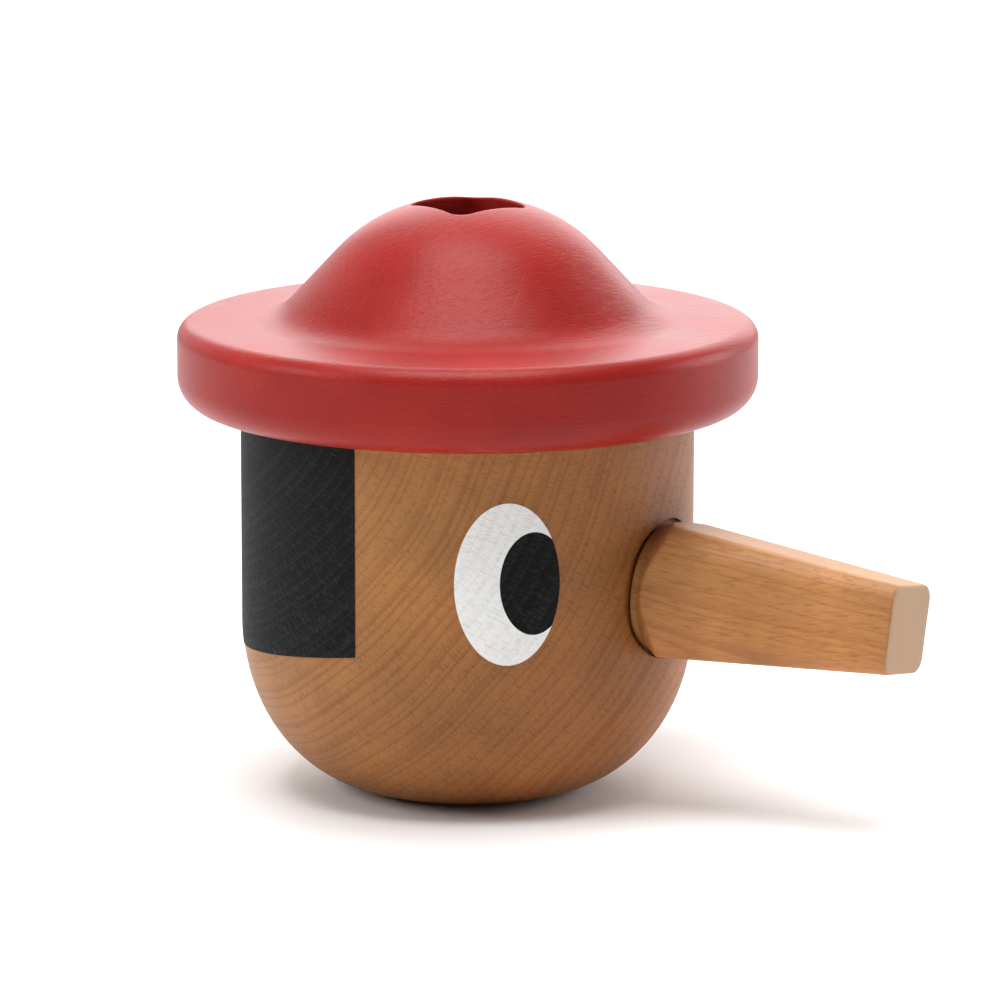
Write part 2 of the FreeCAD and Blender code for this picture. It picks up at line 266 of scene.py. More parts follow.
def evaluated_mesh(piece):
    """The piece's mesh with its modifiers worked in, as plain data; the piece itself is removed."""
    graph = bpy.context.evaluated_depsgraph_get()
    mesh = bpy.data.meshes.new_from_object(piece.evaluated_get(graph))
    bpy.data.objects.remove(piece)
    return mesh


def outward(mesh):
    bm = bmesh.new()
    bm.from_mesh(mesh)
    return settled(bm, mesh)


# ---------------------------------------------------------------- turned and threaded pieces

def turning_tree():
    """A lathe in nodes: spins an outline round Z and lifts a helical thread where it has weight."""
    tree = bpy.data.node_groups.get("turned_piece")
    if tree:
        return tree
    tree = bpy.data.node_groups.new("turned_piece", "GeometryNodeTree")
    tree.interface.new_socket("Outline", in_out="INPUT", socket_type="NodeSocketGeometry")
    tree.interface.new_socket("Segments", in_out="INPUT", socket_type="NodeSocketInt")
    for name in ("Pitch", "Depth", "Crest", "Land"):
        tree.interface.new_socket(name, in_out="INPUT", socket_type="NodeSocketFloat")
    tree.interface.new_socket("Material", in_out="INPUT", socket_type="NodeSocketMaterial")
    tree.interface.new_socket("Piece", in_out="OUTPUT", socket_type="NodeSocketGeometry")
    given = add(tree, "NodeGroupInput").outputs

    # one grid column for each step round, one grid row for each outline point
    count = add(tree, "GeometryNodeAttributeDomainSize", {0: given["Outline"]}).outputs["Point Count"]
    columns = add(tree, "ShaderNodeMath", {0: given["Segments"], 1: 1.0}, operation="ADD").outputs[0]
    grid = add(tree, "GeometryNodeMeshGrid", {"Vertices X": columns, "Vertices Y": count}).outputs["Mesh"]
    index = add(tree, "GeometryNodeInputIndex").outputs[0]
    row = add(tree, "ShaderNodeMath", {0: index, 1: count}, operation="MODULO").outputs[0]
    middle = add(tree, "ShaderNodeMath", {0: index, 1: 0.5}, operation="ADD").outputs[0]
    share = add(tree, "ShaderNodeMath", {0: middle, 1: count}, operation="DIVIDE").outputs[0]
    column = add(tree, "ShaderNodeMath", {0: share}, operation="FLOOR").outputs[0]
    turns = add(tree, "ShaderNodeMath", {0: column, 1: given["Segments"]}, operation="DIVIDE").outputs[0]
    theta = add(tree, "ShaderNodeMath", {0: turns, 1: math.tau}, operation="MULTIPLY").outputs[0]

    # the outline's own radius, height and thread weight at this row
    place = add(tree, "GeometryNodeSampleIndex", {
        "Geometry": given["Outline"], "Index": row}, data_type="FLOAT_VECTOR", domain="POINT")
    tree.links.new(add(tree, "GeometryNodeInputPosition").outputs[0], place.inputs["Value"])
    axes = add(tree, "ShaderNodeSeparateXYZ", {0: place.outputs[0]}).outputs
    weight = add(tree, "GeometryNodeSampleIndex", {
        "Geometry": given["Outline"], "Index": row}, data_type="FLOAT", domain="POINT")
    stored = add(tree, "GeometryNodeInputNamedAttribute", {"Name": "thread"}, data_type="FLOAT")
    tree.links.new(stored.outputs[0], weight.inputs["Value"])

    # how far this point is, along the axis, from the middle of the nearest crest
    climb = add(tree, "ShaderNodeMath", {0: axes["Z"], 1: given["Pitch"]}, operation="DIVIDE").outputs[0]
    ahead = add(tree, "ShaderNodeMath", {0: climb, 1: turns}, operation="SUBTRACT").outputs[0]
    nearest = add(tree, "ShaderNodeMath", {0: ahead}, operation="ROUND").outputs[0]
    off = add(tree, "ShaderNodeMath", {0: ahead, 1: nearest}, operation="SUBTRACT").outputs[0]
    apart = add(tree, "ShaderNodeMath", {0: off}, operation="ABSOLUTE").outputs[0]
    distance = add(tree, "ShaderNodeMath", {0: apart, 1: given["Pitch"]}, operation="MULTIPLY").outputs[0]
    half_crest = add(tree, "ShaderNodeMath", {0: given["Crest"], 1: 0.5}, operation="MULTIPLY").outputs[0]
    gap = add(tree, "ShaderNodeMath", {0: given["Pitch"], 1: given["Land"]}, operation="SUBTRACT").outputs[0]
    half_root = add(tree, "ShaderNodeMath", {0: gap, 1: 0.5}, operation="MULTIPLY").outputs[0]
    rise = add(tree, "ShaderNodeMapRange", {
        "Value": distance, "From Min": half_crest, "From Max": half_root,
        "To Min": 1.0, "To Max": 0.0}).outputs[0]
    full = add(tree, "ShaderNodeMath", {0: rise, 1: given["Depth"]}, operation="MULTIPLY").outputs[0]
    radius = add(tree, "ShaderNodeMath", {
        0: full, 1: weight.outputs[0], 2: axes["X"]}, operation="MULTIPLY_ADD").outputs[0]

    cosine = add(tree, "ShaderNodeMath", {0: theta}, operation="COSINE").outputs[0]
    sine = add(tree, "ShaderNodeMath", {0: theta}, operation="SINE").outputs[0]
    across = add(tree, "ShaderNodeMath", {0: radius, 1: cosine}, operation="MULTIPLY").outputs[0]
    along = add(tree, "ShaderNodeMath", {0: radius, 1: sine}, operation="MULTIPLY").outputs[0]
    position = add(tree, "ShaderNodeCombineXYZ", {0: across, 1: along, 2: axes["Z"]}).outputs[0]
    moved = add(tree, "GeometryNodeSetPosition", {"Geometry": grid, "Position": position}).outputs[0]
    merged = add(tree, "GeometryNodeMergeByDistance", {"Geometry": moved, "Distance": 1e-6}).outputs[0]
    real = add(tree, "GeometryNodeRealizeInstances", {0: merged}).outputs[0]
    finished = add(tree, "GeometryNodeSetMaterial", {"Geometry": real, "Material": given["Material"]})
    add(tree, "NodeGroupOutput", {0: finished.outputs[0]})
    return tree


def turned_mesh(name, outline, segments, material, thread=None, screw=None):
    """Spins an outline round Z; thread gives the weight of the thread at each outline point."""
    mesh = bpy.data.meshes.new(name + "_outline")
    mesh.from_pydata([(p[0], 0, p[1]) for p in outline], [(i, i + 1) for i in range(len(outline) - 1)], [])
    weights = mesh.attributes.new("thread", "FLOAT", "POINT")
    weights.data.foreach_set("value", thread or [0.0] * len(outline))
    piece = bpy.data.objects.new(name, mesh)
    bpy.context.scene.collection.objects.link(piece)
    modifier = piece.modifiers.new("Turned", "NODES")
    modifier.node_group = turning_tree()
    given = {
        "Segments": segments,
        "Pitch": screw.pitch if screw else 1.0,
        "Depth": screw.depth if screw else 0.0,
        "Crest": screw.crest if screw else 0.1,
        "Land": screw.land if screw else 0.1,
        "Material": material,
    }
    for socket in modifier.node_group.interface.items_tree:
        if socket.name in given:
            modifier[socket.identifier] = given[socket.name]
    return outward(evaluated_mesh(piece))


def screw_matrix():
    """Takes a piece drawn along Z, with the beak's root face at the origin, to its place on the screw."""
    lean = Vector((0, 0, 1)).angle(SCREW_AXIS)
    return Matrix.Translation(SCREW_ORIGIN) @ Matrix.Rotation(lean, 4, "Y")


# ---------------------------------------------------------------- wood and finishes

FAR_TONE_AND_SHADE = linear("#E3CDB8")       # multiplies the tone far from the pith: partly the wood's deeper tone, partly painted shade on the side turned from the left light
END_GRAIN = linear("#A68465")
BLACK_INK_GRAIN = linear("#2C2C2E")  # where rings and rays stand through each ink
WHITE_INK_GRAIN = linear("#B4B4B1")


def new_material(name):
    material = bpy.data.materials.new(name)
    material.use_nodes = True
    material.node_tree.nodes.clear()
    return material, material.node_tree


def beech_figure(tree, log, spacing):
    """Where growth rings, rays and fibres fall on a piece of beech, from its place in the log.

    log is (pith, turn, pith_distance): a point of the pith in metres, the turn that lays the
    fibres along the piece, and how far the piece is from the pith.
    """
    pith, turn, pith_distance = log
    place = add(tree, "ShaderNodeTexCoord").outputs["Object"]
    inside = add(tree, "ShaderNodeMapping", {
        "Vector": place, "Location": pith, "Rotation": turn, "Scale": (MM, MM, MM)},
        vector_type="TEXTURE").outputs[0]

    # rings waver by a millimetre over a few centimetres
    drift = add(tree, "ShaderNodeTexNoise", {
        "Vector": inside, "Scale": 0.025, "Detail": 1.0}).outputs["Color"]
    centred = add(tree, "ShaderNodeVectorMath", {
        0: drift, 1: (0.5, 0.5, 0.5)}, operation="SUBTRACT").outputs[0]
    swing = add(tree, "ShaderNodeVectorMath", {0: centred, "Scale": 5.0}, operation="SCALE").outputs[0]
    bent = add(tree, "ShaderNodeVectorMath", {0: inside, 1: swing}, operation="ADD").outputs[0]
    axes = add(tree, "ShaderNodeSeparateXYZ", {0: bent}).outputs
    level = add(tree, "ShaderNodeCombineXYZ", {0: axes["X"], 1: axes["Y"]}).outputs[0]
    reach = add(tree, "ShaderNodeVectorMath", {0: level}, operation="LENGTH").outputs["Value"]
    bearing = add(tree, "ShaderNodeMath", {0: axes["Y"], 1: axes["X"]}, operation="ARCTAN2").outputs[0]

    # no two years are as wide as each other
    year = add(tree, "ShaderNodeMath", {0: reach, 1: spacing / MM}, operation="DIVIDE").outputs[0]
    weather = add(tree, "ShaderNodeTexNoise", {"W": year, "Scale": 0.7, "Detail": 1.0},
                  noise_dimensions="1D").outputs[0]
    uneven = add(tree, "ShaderNodeMath", {0: weather, 1: 1.4, 2: year}, operation="MULTIPLY_ADD").outputs[0]
    season = add(tree, "ShaderNodeMath", {0: uneven}, operation="FRACT").outputs[0]
    ring = add(tree, "ShaderNodeValToRGB", {0: season})
    stops = ring.color_ramp.elements
    stops[0].color = linear("#E0E0E0")
    stops[1].color = linear("#F4F4F4")
    for position, grey in ((0.08, "#505050"), (0.45, "#000000"), (0.78, "#909090"), (0.94, "#FFFFFF")):
        stops.new(position).color = linear(grey)

    # a ray is a quarter of a millimetre thick, about a millimetre long and 3 mm tall along the fibre
    outward_run = add(tree, "ShaderNodeMath", {0: reach, 1: 1 / 1.1}, operation="MULTIPLY").outputs[0]
    thickness = add(tree, "ShaderNodeMath", {
        0: bearing, 1: pith_distance / (0.28 * MM)}, operation="MULTIPLY").outputs[0]
    upward = add(tree, "ShaderNodeMath", {0: axes["Z"], 1: 1 / 3.0}, operation="MULTIPLY").outputs[0]
    spindle = add(tree, "ShaderNodeCombineXYZ", {0: outward_run, 1: thickness, 2: upward}).outputs[0]
    scatter = add(tree, "ShaderNodeTexNoise", {"Vector": spindle, "Scale": 1.0, "Detail": 1.5}).outputs[0]
    ray = add(tree, "ShaderNodeMapRange", {"Value": scatter, "From Min": 0.52, "From Max": 0.70}).outputs[0]

    # cloudy patches about 2 cm wide, and fibres drawn out along the piece
    mottle = add(tree, "ShaderNodeTexNoise", {"Vector": inside, "Scale": 0.055, "Detail": 3.0}).outputs[0]
    drawn = add(tree, "ShaderNodeMapping", {"Vector": inside, "Scale": (3.0, 3.0, 0.18)}).outputs[0]
    fibre = add(tree, "ShaderNodeTexNoise", {"Vector": drawn, "Scale": 1.0, "Detail": 4.0}).outputs[0]

    # the tone deepens away from the pith: on the pot this is the side turned from the left light, so it is
    # partly painted shade
    near, far = 0.75 * pith_distance / MM, 1.35 * pith_distance / MM
    far_tone_and_shade = add(tree, "ShaderNodeMapRange", {"Value": reach, "From Min": near, "From Max": far}).outputs[0]
    return ring.outputs[0], ray, mottle, fibre, far_tone_and_shade


def surface(tree, base, height, depth, **values):
    """Ends a material: the principled shader over a relief as deep as depth, in metres."""
    relief = add(tree, "ShaderNodeBump", {"Height": height, "Distance": depth})
    shader = add(tree, "ShaderNodeBsdfPrincipled", {
        "Base Color": base, "Normal": relief.outputs[0], **values})
    add(tree, "ShaderNodeOutputMaterial", {0: shader.outputs[0]})


def oiled_beech(name, wood, log, spacing, end_grain=None):
    """Steamed beech, turned, sanded and oiled: fine ring lines, short ray flecks, a silky half-shine.

    wood is (light, dark, rays).  end_grain is the distance from the root face beyond which
    the piece is a sawn end, which drinks more oil and looks duller.
    """
    light, dark, ray_colour = wood
    material, tree = new_material(name)
    ring, ray, mottle, fibre, far_tone_and_shade = beech_figure(tree, log, spacing)
    line = add(tree, "ShaderNodeMath", {0: ring, 1: 0.55}, operation="MULTIPLY").outputs[0]
    tone = add(tree, "ShaderNodeMix", {0: line, 6: light, 7: dark}, data_type="RGBA").outputs[2]
    fleck = add(tree, "ShaderNodeMath", {0: ray, 1: 0.45}, operation="MULTIPLY").outputs[0]
    tone = add(tree, "ShaderNodeMix", {0: fleck, 6: tone, 7: ray_colour}, data_type="RGBA").outputs[2]
    # partly painted shade: wood far from the pith is multiplied darker, and on the pot that is the side
    # turned from the left light
    tone = add(tree, "ShaderNodeMix", {
        0: far_tone_and_shade, 6: tone, 7: FAR_TONE_AND_SHADE}, data_type="RGBA", blend_type="MULTIPLY").outputs[2]
    cloud = add(tree, "ShaderNodeMapRange", {
        "Value": mottle, "From Min": 0.3, "From Max": 0.7, "To Min": 0.80, "To Max": 1.12}).outputs[0]
    streak = add(tree, "ShaderNodeMapRange", {
        "Value": fibre, "From Min": 0.3, "From Max": 0.7, "To Min": 0.92, "To Max": 1.06}).outputs[0]
    shade = add(tree, "ShaderNodeMath", {0: cloud, 1: streak}, operation="MULTIPLY").outputs[0]
    tone = add(tree, "ShaderNodeVectorMath", {0: tone, "Scale": shade}, operation="SCALE").outputs[0]
    if end_grain is not None:
        place = add(tree, "ShaderNodeTexCoord").outputs["Object"]
        from_root = add(tree, "ShaderNodeVectorMath", {
            0: place, 1: SCREW_ORIGIN}, operation="SUBTRACT").outputs[0]
        along = add(tree, "ShaderNodeVectorMath", {
            0: from_root, 1: SCREW_AXIS}, operation="DOT_PRODUCT").outputs["Value"]
        end = add(tree, "ShaderNodeMapRange", {
            "Value": along, "From Min": end_grain - 0.3 * MM, "From Max": end_grain}).outputs[0]
        tone = add(tree, "ShaderNodeMix", {0: end, 6: tone, 7: END_GRAIN}, data_type="RGBA").outputs[2]
    depth = add(tree, "ShaderNodeMath", {0: ring, 1: 0.5, 2: fleck}, operation="MULTIPLY_ADD").outputs[0]
    sunk = add(tree, "ShaderNodeMath", {0: depth, 1: -1.0}, operation="MULTIPLY").outputs[0]
    rough = add(tree, "ShaderNodeMapRange", {"Value": fibre, "To Min": 0.42, "To Max": 0.56}).outputs[0]
    surface(tree, tone, sunk, 0.03 * MM, **{"Roughness": rough, "IOR": 1.5, "Specular IOR Level": 0.28})
    return material


def printed_ink(name, ink, marks, amount, spacing):
    """Matt ink printed on the pot: ring lines and rays still stand in it as a faint relief."""
    material, tree = new_material(name)
    ring, ray, _, fibre, _ = beech_figure(tree, POT_LOG, spacing)
    grain = add(tree, "ShaderNodeMath", {0: ring, 1: 0.5, 2: ray}, operation="MULTIPLY_ADD").outputs[0]
    share = add(tree, "ShaderNodeMath", {
        0: grain, 1: amount}, operation="MULTIPLY", use_clamp=True).outputs[0]
    tone = add(tree, "ShaderNodeMix", {0: share, 6: ink, 7: marks}, data_type="RGBA").outputs[2]
    sunk = add(tree, "ShaderNodeMath", {0: grain, 1: -1.0}, operation="MULTIPLY").outputs[0]
    rough = add(tree, "ShaderNodeMapRange", {"Value": fibre, "To Min": 0.55, "To Max": 0.72}).outputs[0]
    surface(tree, tone, sunk, 0.05 * MM, **{"Roughness": rough, "IOR": 1.5, "Specular IOR Level": 0.12})
    return material


def satin_lacquer(name, pigment, log, spacing):
    """Sprayed lacquer on turned beech: even red, a soft sheen, the grain just standing through."""
    material, tree = new_material(name)
    ring, ray, mottle, _, _ = beech_figure(tree, log, spacing)
    deep = [0.82 * value for value in pigment[:3]] + [1.0]
    cloud = add(tree, "ShaderNodeMapRange", {"Value": mottle, "From Min": 0.35, "From Max": 0.65}).outputs[0]
    red = add(tree, "ShaderNodeMix", {0: cloud, 6: deep, 7: pigment}, data_type="RGBA").outputs[2]
    place = add(tree, "ShaderNodeTexCoord").outputs["Object"]
    spray = add(tree, "ShaderNodeTexNoise", {
        "Vector": place, "Scale": 1 / (1.2 * MM), "Detail": 2.0}).outputs[0]
    grain = add(tree, "ShaderNodeMath", {0: ring, 1: 0.4, 2: ray}, operation="MULTIPLY_ADD").outputs[0]
    height = add(tree, "ShaderNodeMath", {0: grain, 1: -1.0, 2: spray}, operation="MULTIPLY_ADD").outputs[0]
    rough = add(tree, "ShaderNodeMapRange", {"Value": mottle, "To Min": 0.30, "To Max": 0.42}).outputs[0]
    surface(tree, red, height, 0.025 * MM, **{"Roughness": rough, "IOR": 1.5, "Specular IOR Level": 0.18})
    return material


def plated_wire(name):
    """Zinc-plated steel wire: bluish grey with fine drawing marks along the pin."""
    material, tree = new_material(name)
    place = add(tree, "ShaderNodeTexCoord").outputs["Object"]
    drawn = add(tree, "ShaderNodeMapping", {"Vector": place, "Scale": (100.0, 4000.0, 4000.0)}).outputs[0]
    marks = add(tree, "ShaderNodeTexNoise", {"Vector": drawn, "Scale": 1.0, "Detail": 2.0}).outputs[0]
    tone = add(tree, "ShaderNodeMix", {
        0: marks, 6: linear("#A9ABAE"), 7: linear("#C9CBCD")}, data_type="RGBA").outputs[2]
    rough = add(tree, "ShaderNodeMapRange", {"Value": marks, "To Min": 0.25, "To Max": 0.42}).outputs[0]
    surface(tree, tone, marks, 0.004 * MM, Roughness=rough, Metallic=1.0)
    return material


# each piece's own place in its log: the pith, the turn of the fibres, and the distance between
POT_LOG = (
    Vector((-58.3, -33.0, 85.0)) * MM, (math.radians(84), 0.0, math.radians(29.5)), 80.0 * MM)
HAT_LOG = (
    Vector((-40.0, 60.0, 60.0)) * MM, (math.radians(88), 0.0, math.radians(-10)), 75.0 * MM)
BEAK_LOG = (
    Vector((0.0, 30.0, 78.0)) * MM, (0.0, math.radians(94.5), math.radians(1.5)), 50.0 * MM)


def beak_beech(settings):
    """One blank gives beak, screw and pad, so they share a figure."""
    finish = settings.finish
    wood = (finish.beak_light, finish.beak_dark, finish.beak_ray)
    return oiled_beech("Steamed beech, natural oil", wood, BEAK_LOG, 0.8 * finish.ring_spacing,
                       end_grain=settings.beak.length)


# ---------------------------------------------------------------- operators

class NUTCRACKER_OT_stage(bpy.types.Operator):
    """Sets the camera, the pale floor and the soft studio light"""
    bl_idname = "nutcracker.stage"
    bl_label = "Stage"

    def execute(self, context):
        scene = context.scene
        self.place_camera(scene)
        self.lay_floor(scene)
        self.light_room(scene)
        self.hang_lights(scene)
        scene.view_settings.view_transform = "Standard"
        return {"FINISHED"}

    def place_camera(self, scene):
        bearing = math.radians(-60.5)
        rise = math.radians(11.8)
        level = math.cos(rise)
        back = Vector((math.cos(bearing) * level, math.sin(bearing) * level, math.sin(rise)))
        data = bpy.data.cameras.new("Camera")
        data.lens = 223.3
        data.shift_x = 0.0322
        data.shift_y = 0.0337
        camera = bpy.data.objects.new("Camera", data)
        aim, distance = Vector((0, 0, 45 * MM)), 1.1
        camera.location = aim + distance * back
        camera.rotation_euler = back.to_track_quat("Z", "Y").to_euler()
        scene.collection.objects.link(camera)
        scene.camera = camera

    def lay_floor(self, scene):
        bm = bmesh.new()
        bmesh.ops.create_grid(bm, x_segments=1, y_segments=1, size=6.0)
        mesh = bpy.data.meshes.new("floor")
        bm.to_mesh(mesh)
        bm.free()
        floor = bpy.data.objects.new("floor", mesh)
        scene.collection.objects.link(floor)
        material, tree = new_material("White studio paper")
        place = add(tree, "ShaderNodeTexCoord").outputs["Object"]
        pulp = add(tree, "ShaderNodeTexNoise", {"Vector": place, "Scale": 40.0}).outputs[0]
        tone = add(tree, "ShaderNodeMix", {
            0: pulp, 6: linear("#F4F4F4"), 7: linear("#F7F7F7")}, data_type="RGBA").outputs[2]
        surface(tree, tone, pulp, 0.01 * MM, Roughness=0.9)
        mesh.materials.append(material)

    def light_room(self, scene):
        """White walls, seen white from everywhere, whose light comes mostly from behind."""
        world = bpy.data.worlds.new("Studio")
        world.use_nodes = True
        tree = world.node_tree
        tree.nodes.clear()
        way = add(tree, "ShaderNodeTexCoord").outputs["Generated"]
        front = Vector((0.49, -0.87, 0.0))
        facing = add(tree, "ShaderNodeVectorMath", {
            0: way, 1: front}, operation="DOT_PRODUCT").outputs["Value"]
        light = add(tree, "ShaderNodeMapRange", {
            "Value": facing, "From Min": -0.85, "From Max": -0.15, "To Min": 1.2, "To Max": 0.08}).outputs[0]
        seen = add(tree, "ShaderNodeLightPath").outputs["Is Camera Ray"]
        strength = add(tree, "ShaderNodeMix", {0: seen, 2: light, 3: 1.0}).outputs[0]
        ground = add(tree, "ShaderNodeBackground", {"Color": linear("#FFFFFF"), "Strength": strength})
        add(tree, "ShaderNodeOutputWorld", {0: ground.outputs[0]})
        scene.world = world

    def hang_lights(self, scene):
        for name, place, size, watts in (
                ("Overhead box", (0.05, -0.15, 1.0), 0.7, 13.0),
                ("Left box", (-0.75, -0.75, 0.65), 0.6, 6.5),
                ("Back box", (-0.45, 1.1, 0.7), 1.2, 8.0),
                ("Right back box", (0.75, 0.85, 0.35), 0.6, 6.0)):
            data = bpy.data.lights.new(name, "AREA")
            data.size = size
            data.energy = watts
            lamp = bpy.data.objects.new(name, data)
            lamp.location = place
            lamp.rotation_euler = Vector(place).to_track_quat("Z", "Y").to_euler()
            scene.collection.objects.link(lamp)


class NUTCRACKER_OT_pot(bpy.types.Operator):
    """Turns the pot and taps its wall for the screw"""
    bl_idname = "nutcracker.pot"
    bl_label = "Pot"

    def execute(self, context):
        settings = context.scene.nutcracker
        finish = settings.finish
        wood = (finish.pot_light, finish.pot_dark, finish.pot_ray)
        material = oiled_beech("Steamed beech, honey stain", wood, POT_LOG, finish.ring_spacing)
        blank = turned_mesh("pot_blank", self.outline(settings.pot), finish.segments, material)
        tapped = self.tapped(context, blank, settings)
        show("turned_pot", tapped, "pot", ["pot"], material)
        return {"FINISHED"}

    def outline(self, sizes):
        across = sizes.radius - sizes.base_radius
        curve = []
        for k in range(29):
            turn = math.pi / 2 * k / 28
            curve.append(Vector((
                sizes.base_radius + across * math.sin(turn), sizes.curve_height * (1 - math.cos(turn)))))
        inside = sizes.radius - sizes.wall
        rim = rounded_outline(
            [curve[-1], (sizes.radius, sizes.height), (inside, sizes.height),
             (inside, sizes.floor), (0, sizes.floor)],
            [0, sizes.rim_round, sizes.rim_round, sizes.cavity_corner, 0])
        return divided([Vector((0, 0))] + curve + rim[1:], 2.0 * MM)

    def tapped(self, context, blank, settings):
        """The blank with a threaded hole along the screw and a round seat for the beak's root."""
        screw = settings.screw
        core = screw.radius + screw.clearance - screw.depth
        past = 4.0 * MM
        low = -settings.pot.wall - past
        seat = settings.pot.seat_radius
        floor = -settings.pot.seat_gap
        wall = divided([Vector((core, low)), Vector((core, floor))], THREAD_ROW)
        outline = [Vector((0, low))] + wall + [Vector((seat, floor)), Vector((seat, past)), Vector((0, past))]
        tap = turned_mesh("tap", outline, 128, None, [0.0] + [1.0] * len(wall) + [0.0] * 3, screw)
        tap.transform(screw_matrix())
        cutter = bpy.data.objects.new("tap", tap)
        pot = bpy.data.objects.new("blank", blank)
        for piece in (cutter, pot):
            context.scene.collection.objects.link(piece)
        cut = pot.modifiers.new("Tapped hole", "BOOLEAN")
        cut.object = cutter
        cut.solver = "EXACT"
        mesh = evaluated_mesh(pot)
        bpy.data.objects.remove(cutter)
        return mesh


class NUTCRACKER_OT_prints(bpy.types.Operator):
    """Inks the black half of the head and both eyes"""
    bl_idname = "nutcracker.prints"
    bl_label = "Printed face"

    def execute(self, context):
        finish = context.scene.nutcracker.finish
        spacing = finish.ring_spacing
        black = printed_ink("Matt black printing ink", finish.black_ink, BLACK_INK_GRAIN, 0.6, spacing)
        white = printed_ink("Matt white printing ink", finish.white_ink, WHITE_INK_GRAIN, 0.25, spacing)
        for ink, nodes in (
                (black, ("hair_patch", "pupil_left", "pupil_right")),
                (white, ("eye_white_left", "eye_white_right"))):
            for node in nodes:
                frame["nodes"][node].data.materials[0] = ink
        return {"FINISHED"}


def square_radius(half, corner, theta):
    """Radius of a square with rounded corners in one direction from its middle."""
    turn = abs((theta + math.pi / 4) % (math.pi / 2) - math.pi / 4)
    flat = half - corner
    if math.tan(turn) * half <= flat:
        return half / math.cos(turn)
    along = flat * (math.cos(turn) + math.sin(turn))
    return along + math.sqrt(max(0.0, along ** 2 - 2 * flat ** 2 + corner ** 2))


def taper_radius(beak, from_tip, fit, theta):
    """Radius of the beak's tapered square at a distance from its tip, grown by a fit."""
    share = from_tip / beak.length
    side = beak.tip_side + (beak.root_side - beak.tip_side) * share + fit
    corner = beak.tip_corner + (beak.root_corner - beak.tip_corner) * share
    return square_radius(side / 2, corner, theta)


class NUTCRACKER_OT_hat(bpy.types.Operator):
    """Turns the hat and pierces its crown with the square keyhole"""
    bl_idname = "nutcracker.hat"
    bl_label = "Hat"

    def execute(self, context):
        settings = context.scene.nutcracker
        finish = settings.finish
        material = satin_lacquer("Red satin lacquer on beech", finish.lacquer, HAT_LOG, finish.ring_spacing)
        mesh = mesh_from_rings("lacquered_hat", self.rings(settings), True)
        show("lacquered_hat", mesh, "hat", ["hat"], material)
        return {"FINISHED"}

    def rings(self, settings):
        """Up the keyhole's wall, over its eased edge, down crown, brim and recess, back to the hole."""
        hat = settings.hat
        ceiling = settings.pot.height
        recess = settings.pot.radius + hat.fit
        thetas = [math.tau * k / settings.finish.segments for k in range(settings.finish.segments)]
        brim = hat.underside + hat.brim_thickness
        corner = hat.foot_radius - (hat.top - brim) / math.tan(hat.flank_angle)
        flat = max(0.0, corner - hat.crown_round * math.tan(hat.flank_angle / 2))
        ease = hat.keyhole_ease
        seam = 0.5 * MM
        join = 15.0 * MM  # the dome's own points end here and the turned outline takes over
        recess_round, ceiling_round = 1.0 * MM, 0.6 * MM

        def wall(theta, z):
            return taper_radius(settings.beak, hat.top - z, hat.keyhole_fit, theta - hat.keyhole_angle)

        def dome(r):
            return hat.top - hat.crown_round + math.sqrt(hat.crown_round ** 2 - max(0.0, r - flat) ** 2)

        columns = []
        for theta in thetas:
            edge = wall(theta, hat.top)
            brink = dome(edge)
            low = ceiling + seam
            column = [Vector((wall(theta, z), z)) for z in (
                low + (brink - ease - low) * k / 16 for k in range(17))]
            under, over = column[-1], Vector((edge + ease, dome(edge + ease)))
            corner_point = Vector((edge, brink))
            for k in range(1, 6):
                u = k / 5
                column.append((1 - u) ** 2 * under + 2 * u * (1 - u) * corner_point + u ** 2 * over)
            for k in range(1, 7):
                r = over.x + (join - over.x) * k / 6
                column.append(Vector((r, dome(r))))
            columns.append(column)

        outline = divided(rounded_outline(
            [(0, hat.top), (corner, hat.top), (hat.foot_radius, brim), (hat.radius, brim - hat.brim_fall),
             (hat.radius, hat.underside), (recess, hat.underside), (recess, ceiling),
             (recess - 4 * MM, ceiling)],
            [0, hat.crown_round, hat.foot_round, hat.top_round, hat.bottom_round,
             recess_round, ceiling_round, 0],
            math.radians(3)), 2.0 * MM)
        turned = [point for point in outline if point.x > join + seam]
        for theta, column in zip(thetas, columns):
            column += turned
            hole = wall(theta, ceiling) + seam
            column += [Vector((turned[-1].x + (hole - turned[-1].x) * k / 6, ceiling)) for k in range(1, 7)]
        return [
            [Vector((column[row].x * math.cos(t), column[row].x * math.sin(t), column[row].y))
             for t, column in zip(thetas, columns)]
            for row in range(len(columns[0]))]


